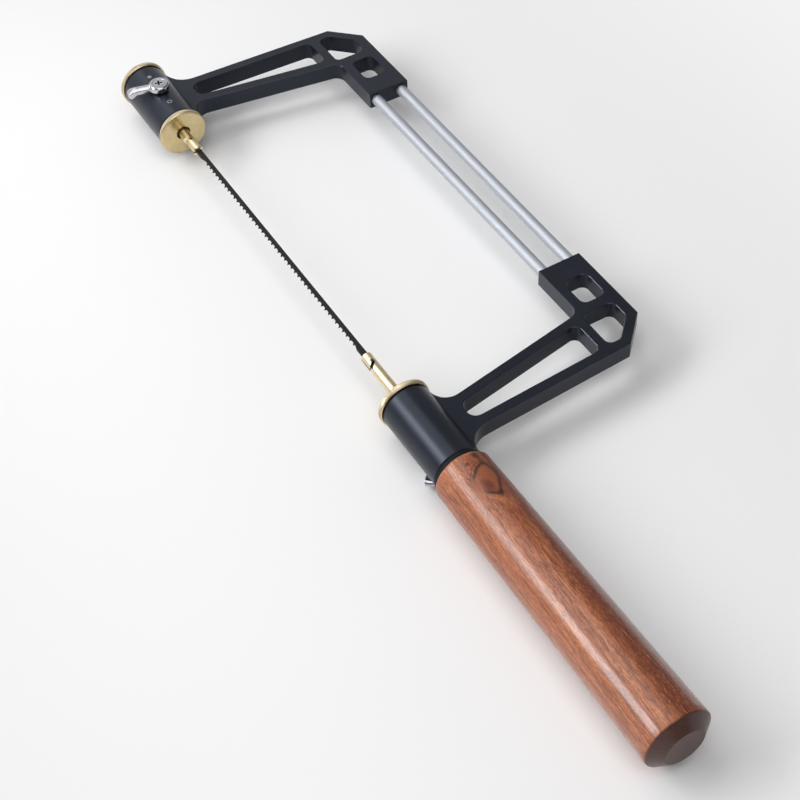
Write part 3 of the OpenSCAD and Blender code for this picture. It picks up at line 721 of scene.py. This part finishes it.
def chamfer(shape, edges, size, slope, edge_layer):
    """Cuts a flat chamfer along edges, slope times as deep as it is wide, and notes its faces."""
    top = max(abs(v.co.z) for edge in edges for v in edge.verts)
    cut = bmesh.ops.bevel(
        shape, geom=edges, offset=size, offset_type="OFFSET", segments=1, affect="EDGES",
        clamp_overlap=True, profile=0.5)
    for face in cut["faces"]:
        face[edge_layer] = 1.0
    for vert in {vert for face in cut["faces"] for vert in face.verts}:
        vert.co.z = math.copysign(top - (top - abs(vert.co.z)) * slope, vert.co.z)


# Operators, one for each group of pieces


class SawOperator(bpy.types.Operator):
    """Shared ground of the operators."""

    bl_options = {"REGISTER", "UNDO"}

    @property
    def saw(self):
        """Settings of the saw."""
        return bpy.context.scene.fret_saw


class FRETSAW_OT_arms(SawOperator):
    """Chamfers the two arms and gives them their anodised finish"""

    bl_idname = "fret_saw.arms"
    bl_label = "Arms"

    # Where the printed marks lie along the barrel, from the front lever's hub
    DOT_X, RING_X = -10.9 * MM, 10.6 * MM
    # How far the chamfers keep from the barrels, past the thrust ring's radius
    BARREL_ROOM = 0.5 * MM

    def execute(self, context):
        sizes, colours = self.saw.sizes, self.saw.colours
        hub = middle("front_lever_stud")
        marks = ((hub.x + self.DOT_X, 0.0), (hub.x + self.RING_X, 0.0))
        finishes = {
            "front_arm": anodised_finish("anodised_marked", colours, marks),
            "rear_arm": anodised_finish("anodised", colours),
        }
        cuts = (("openings", sizes.opening_chamfer, 0.75), ("outline", sizes.outline_chamfer, 1.0))
        clear_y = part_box("thrust_ring")[1].z + self.BARREL_ROOM
        for node, finish in finishes.items():
            shape = merged(node)
            layer = shape.faces.layers.float.new("edge")
            for where, size, slope in cuts:
                chamfer(shape, plate_rims(shape, clear_y)[where], size, slope, layer)
            arm = piece(node + "_machined", shape, finish)
            soften(arm, 32)
            stands_for(arm, node)
        return {"FINISHED"}


class FRETSAW_OT_rods(SawOperator):
    """Finishes the spine rods and the small screws, pins, washers and clip"""

    bl_idname = "fret_saw.rods"
    bl_label = "Rods and fixings"

    def execute(self, context):
        colours = self.saw.colours
        dress(drawn_steel_finish(colours), "inner_rod", "outer_rod", "tail_washer")
        dress(dark_steel_finish("dark_steel", colours), "rod_set_screws", "guide_screw",
              "front_cap_screw", "blade_pins", "tail_clip")
        dress(nylon_finish(colours), "collar_washers", "thrust_ring")
        return {"FINISHED"}


class FRETSAW_OT_blade(SawOperator):
    """Sets the teeth of the blade and blues it"""

    bl_idname = "fret_saw.blade"
    bl_label = "Blade"

    # The roots of the teeth lie at least this far from their tips and from the blade's middle
    ROOT_ROOM = 0.2 * MM

    def execute(self, context):
        sizes, colours = self.saw.sizes, self.saw.colours
        tip_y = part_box("blade")[0].y
        shape = merged("blade")
        roots = sorted((v.co.x, v.co.y) for v in shape.verts
                       if tip_y + self.ROOT_ROOM < v.co.y < -self.ROOT_ROOM)
        if not roots:
            raise RuntimeError("the blade's teeth were not found")
        first, last = roots[0][0], roots[-1][0]
        root_y = max(y for _, y in roots)
        bmesh.ops.bisect_plane(
            shape, geom=shape.verts[:] + shape.edges[:] + shape.faces[:], dist=JOINED,
            plane_co=(0, root_y, 0), plane_no=(0, 1, 0))
        blade = piece("blade_toothed", shape, blade_finish(colours))
        add_shaper(blade, tooth_set_tree(), {
            "First tooth": first, "Last tooth": last, "Pitch": (last - first) / sizes.tooth_count,
            "Root": root_y, "Tip": tip_y, "Set": sizes.tooth_set, "Material": blade.data.materials[0]})
        soften(blade, 25)
        stands_for(blade, "blade")
        return {"FINISHED"}


class FRETSAW_OT_discs(SawOperator):
    """Turns and knurls the two collars and the end cap"""

    bl_idname = "fret_saw.discs"
    bl_label = "Knurled discs"

    RIM_BEVEL = 0.5 * MM
    FACE_LINE = 0.12 * MM
    POINTS_PER_RIDGE = 4
    # Countersink and hole of the cap
    SINK_R, SCREW_R = 3.04 * MM, 1.54 * MM
    # Lip, its chamfer and the bore of a collar
    LIP_R, LIP_EDGE, LIP_DEPTH, BORE_R = 3.25 * MM, 0.15 * MM, 1.32 * MM, 4.02 * MM

    def execute(self, context):
        sizes = self.saw.sizes
        finish = disc_finish(self.saw.colours)
        tree = knurl_tree()
        for node in ("front_collar", "rear_collar", "front_cap"):
            disc = piece(node + "_knurled", self.turn(node, sizes), finish)
            add_shaper(disc, tree, {
                "Ridges": sizes.knurl_ridges, "Depth": sizes.knurl_depth, "Material": finish})
            soften(disc, 28)
            stands_for(disc, node)
        return {"FINISHED"}

    def turn(self, node, sizes):
        """Turned blank of a disc, with the points of its rim marked for knurling."""
        low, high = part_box(node)
        rim_r = high.y
        seat, face = (low.x, high.x) if node == "front_collar" else (high.x, low.x)
        way = 1.0 if face > seat else -1.0
        thick = abs(face - seat)
        if node == "front_cap":
            hole = [(thick, self.SINK_R), (thick - (self.SINK_R - self.SCREW_R), self.SCREW_R),
                    (0.0, self.SCREW_R)]
        else:
            hole = [(thick, self.LIP_R + self.LIP_EDGE), (thick - self.LIP_EDGE, self.LIP_R),
                    (thick - self.LIP_DEPTH, self.LIP_R), (thick - self.LIP_DEPTH, self.BORE_R),
                    (0.0, self.BORE_R)]
        bevel, line = self.RIM_BEVEL, self.FACE_LINE
        flat_r, line_floor = rim_r - bevel, thick - line * 0.6
        rim = [(0.0, flat_r), (bevel, rim_r), (thick / 2, rim_r), (thick - bevel, rim_r), (thick, flat_r)]
        face_line = [(thick, flat_r - line), (line_floor, flat_r - 2 * line),
                     (line_floor, flat_r - 4 * line), (thick, flat_r - 5 * line)]
        outline = [(seat + way * t, r) for t, r in rim + face_line + hole]
        shape = lathed(outline, sizes.knurl_ridges * self.POINTS_PER_RIDGE)
        layer = shape.verts.layers.float.new("rim")
        for vert in shape.verts:
            vert[layer] = 1.0 if math.hypot(vert.co.y, vert.co.z) > rim_r - SAME else 0.0
        return shape


class FRETSAW_OT_holders(SawOperator):
    """Finishes the blade holders, the hidden tensioner and the hidden pieces of the clamps"""

    bl_idname = "fret_saw.holders"
    bl_label = "Blade holders"

    # How deep in a collar the painted shade starts, and the pitches of the two threads
    SHADE_DEPTH = 1.2 * MM
    BOLT_PITCH, STUD_PITCH = 1.0 * MM, 0.8 * MM

    def execute(self, context):
        colours = self.saw.colours
        shade_from = (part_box("front_collar")[1].x - self.SHADE_DEPTH,
                    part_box("rear_collar")[0].x + self.SHADE_DEPTH)
        dress(spindle_finish(colours, shade_from), "front_spindle", "rear_spindle", "front_clamp_pad",
              "rear_clamp_pad", "handle_insert")
        dress(dark_steel_finish("bolt_thread", colours, self.BOLT_PITCH, along=0), "draw_bolt")
        dress(dark_steel_finish("stud_thread", colours, self.STUD_PITCH, along=2),
              "front_lever_stud", "rear_lever_stud")
        return {"FINISHED"}


class FRETSAW_OT_levers(SawOperator):
    """Rounds the cast levers and plates them with their screws"""

    bl_idname = "fret_saw.levers"
    bl_label = "Clamp levers"

    HUB_R = 4.3 * MM
    # Rounds of smoothing all over a lever, and on its arm
    ROUNDS_ALL, ROUNDS_ARM = 5, 40
    # How far below the top of a screw's head the painted shade in its cross starts
    CROSS_DEPTH = 0.05 * MM

    def execute(self, context):
        sizes = self.saw.sizes
        finish = chrome_finish("chrome", self.saw.colours)
        for node in ("front_lever", "rear_lever"):
            cast = piece(node + "_cast", merged(node), finish)
            grain = cast.modifiers.new("cast", "REMESH")
            grain.mode = "VOXEL"
            grain.voxel_size = sizes.cast_detail
            settle(cast)
            hub = middle(node + "_screw")
            arm = cast.vertex_groups.new(name="arm")
            for vert in cast.data.vertices:
                beyond = math.hypot(vert.co.x - hub.x, vert.co.y - hub.y) - self.HUB_R
                arm.add([vert.index], min(max(beyond / MM, 0.0), 1.0), "REPLACE")
            self.polish(cast, self.ROUNDS_ALL)
            self.polish(cast, self.ROUNDS_ARM, arm.name)
            settle(cast)
            cast.vertex_groups.clear()
            soften(cast, 60)
            stands_for(cast, node)
        head_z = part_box("front_lever_screw")[1].z
        dress(chrome_finish("chrome_screw", self.saw.colours, head_z - self.CROSS_DEPTH),
              "front_lever_screw", "rear_lever_screw")
        return {"FINISHED"}

    def polish(self, cast, rounds, group=""):
        """Adds rounds of smoothing, on all points or on those of a group."""
        polish = cast.modifiers.new("polish", "SMOOTH")
        polish.factor = 0.5
        polish.iterations = rounds
        polish.vertex_group = group


class FRETSAW_OT_handle(SawOperator):
    """Gives the handle its lacquered wood"""

    bl_idname = "fret_saw.handle"
    bl_label = "Handle"

    def execute(self, context):
        dress(wood_finish(self.saw.colours), "handle")
        return {"FINISHED"}


class FRETSAW_OT_stage(SawOperator):
    """Lays the pale floor, sets the studio light and the camera"""

    bl_idname = "fret_saw.stage"
    bl_label = "Stage"

    FLOOR_HALF = 30.0
    FLOOR_GAP = 0.1 * MM
    # Distance from the saw up to which the floor shows light and shadow, and from which it is even
    LIT_FLOOR, EVEN_FLOOR = 0.02, 0.22
    LIGHT_AIM = (-0.1, 0.03, 0.0)
    # Place, width, height and roll in degrees of each panel light
    PANELS = {
        "key": ((-0.5, -0.79, 0.58), 0.9, 0.3, -25),
        "overhead": ((0.55, -0.15, 1.4), 1.3, 1.3, 0),
        "ceiling": ((-0.94, -0.28, 1.2), 1.1, 1.1, 0),
    }
    PICTURE_SIDE = 800
    CAMERA_FOCAL_PIXELS = 1691.78
    CAMERA_PLACE = (0.271097, -0.207423, 0.490209)
    CAMERA_AZIMUTH, CAMERA_ELEVATION, CAMERA_ROLL = 61.641, 48.375, -3.337

    def execute(self, context):
        scene = context.scene
        studio = self.saw.studio
        scene.view_settings.view_transform = "Standard"
        self.lay_floor(studio)
        self.light_room(scene, studio)
        for name, setting in self.PANELS.items():
            self.panel(name, *setting, getattr(studio, name))
        self.set_camera(scene)
        return {"FINISHED"}

    def lay_floor(self, studio):
        """Flat floor just under the saw, unseen from below and evenly pale away from the saw."""
        level = CAD_BOX[0].z - self.FLOOR_GAP
        half = self.FLOOR_HALF
        shape = bmesh.new()
        shape.faces.new([shape.verts.new(p) for p in (
            (-half, -half, level), (half, -half, level), (half, half, level), (-half, half, level))])
        f = Finish("pale_floor")
        speckle = f.noise(f.place, 8, 2)
        tone = f.mix(speckle, scaled(studio.floor, 0.985), studio.floor)
        near = f.node("ShaderNodeBsdfDiffuse", inputs={"Color": tone})
        far = f.node("ShaderNodeEmission", inputs={"Color": tone})
        ray = f.node("ShaderNodeLightPath", output="Is Camera Ray")
        seen = ray + ray.out("Is Glossy Ray") + ray.out("Is Transmission Ray")
        saw, reach = (CAD_BOX[0] + CAD_BOX[1]) / 2, (CAD_BOX[1] - CAD_BOX[0]) / 2
        past_x = f.x.math("MAXIMUM", abs(f.x - saw.x) - reach.x, 0.0)
        past_y = f.y.math("MAXIMUM", abs(f.y - saw.y) - reach.y, 0.0)
        away = f.step((past_x * past_x + past_y * past_y) ** 0.5, self.LIT_FLOOR, self.EVEN_FLOOR)
        surface = f.node("ShaderNodeMixShader", inputs={0: away * seen, 1: near, 2: far})
        clear = f.node("ShaderNodeBsdfTransparent")
        back = f.node("ShaderNodeNewGeometry", output="Backfacing")
        both = f.node("ShaderNodeMixShader", inputs={0: back, 1: surface, 2: clear})
        f.node("ShaderNodeOutputMaterial", inputs={"Surface": both})
        piece("floor", shape, f.material)

    def light_room(self, scene, studio):
        """Even room light, brighter at the end beyond the front barrel."""
        world = bpy.data.worlds.new("studio_room")
        world.use_nodes = True
        scene.world = world
        n = Nodes(world.node_tree)
        n.tree.nodes.clear()
        way = n.node("ShaderNodeTexCoord", output="Generated")
        along = n.split(way)[0]
        strength = studio.room + n.step(along, -0.5, -0.85) * (studio.window - studio.room)
        light = n.node("ShaderNodeBackground", inputs={
            "Color": (1.0, 1.0, 1.0, 1.0), "Strength": strength})
        n.node("ShaderNodeOutputWorld", inputs={"Surface": light})

    def panel(self, name, place, wide, high, roll, brightness):
        """Soft rectangular light that faces the middle of the saw; brightness is that of its face."""
        lamp = bpy.data.lights.new(name, "AREA")
        lamp.shape = "RECTANGLE"
        lamp.size, lamp.size_y = wide, high
        lamp.energy = brightness * math.pi * wide * high
        made = bpy.data.objects.new(name, lamp)
        aim = Vector(self.LIGHT_AIM) - Vector(place)
        facing = aim.to_track_quat("-Z", "Y").to_matrix().to_4x4()
        rolled = Matrix.Rotation(math.radians(roll), 4, "Z")
        made.matrix_world = Matrix.Translation(place) @ facing @ rolled
        made.visible_camera = False
        bpy.context.scene.collection.objects.link(made)

    def set_camera(self, scene):
        """Camera at the photograph's place, with its lens for a square picture."""
        az, el, roll = (math.radians(v) for v in (
            self.CAMERA_AZIMUTH, self.CAMERA_ELEVATION, self.CAMERA_ROLL))
        ahead = Vector((-math.sin(az) * math.cos(el), math.cos(az) * math.cos(el), -math.sin(el)))
        level = Vector((math.cos(az), math.sin(az), 0.0))
        upright = level.cross(ahead)
        right = level * math.cos(roll) + upright * math.sin(roll)
        up = upright * math.cos(roll) - level * math.sin(roll)
        lens = bpy.data.cameras.new("camera")
        lens.sensor_width = 36.0
        lens.lens = self.CAMERA_FOCAL_PIXELS / self.PICTURE_SIDE * lens.sensor_width
        lens.clip_start, lens.clip_end = 0.01, 50.0
        camera = bpy.data.objects.new("camera", lens)
        turn = Matrix((right, up, -ahead)).transposed().to_4x4()
        camera.matrix_world = Matrix.Translation(self.CAMERA_PLACE) @ turn
        scene.collection.objects.link(camera)
        scene.camera = camera


STEPS = ("arms", "rods", "blade", "discs", "holders", "levers", "handle", "stage")


class FRETSAW_PT_panel(bpy.types.Panel):
    """Lists the steps and settings of the saw"""

    bl_idname = "FRETSAW_PT_panel"
    bl_label = "Fret saw"
    bl_space_type = "VIEW_3D"
    bl_region_type = "UI"
    bl_category = "Fret saw"

    def draw(self, context):
        saw = context.scene.fret_saw
        for step in STEPS:
            self.layout.operator("fret_saw." + step)
        for group in (saw.sizes, saw.colours, saw.studio):
            box = self.layout.box()
            for name in group.__annotations__:
                box.prop(group, name)


CLASSES = (
    SawSizes, SawColours, SawStudio, FretSaw, FRETSAW_OT_arms, FRETSAW_OT_rods, FRETSAW_OT_blade,
    FRETSAW_OT_discs, FRETSAW_OT_holders, FRETSAW_OT_levers, FRETSAW_OT_handle, FRETSAW_OT_stage,
    FRETSAW_PT_panel)


def register():
    for made in CLASSES:
        bpy.utils.register_class(made)
    bpy.types.Scene.fret_saw = bpy.props.PointerProperty(type=FretSaw)


def unregister():
    del bpy.types.Scene.fret_saw
    for made in reversed(CLASSES):
        bpy.utils.unregister_class(made)


def main():
    register()
    for step in STEPS:
        getattr(bpy.ops.fret_saw, step)()


if __name__ == "__main__":
    main()
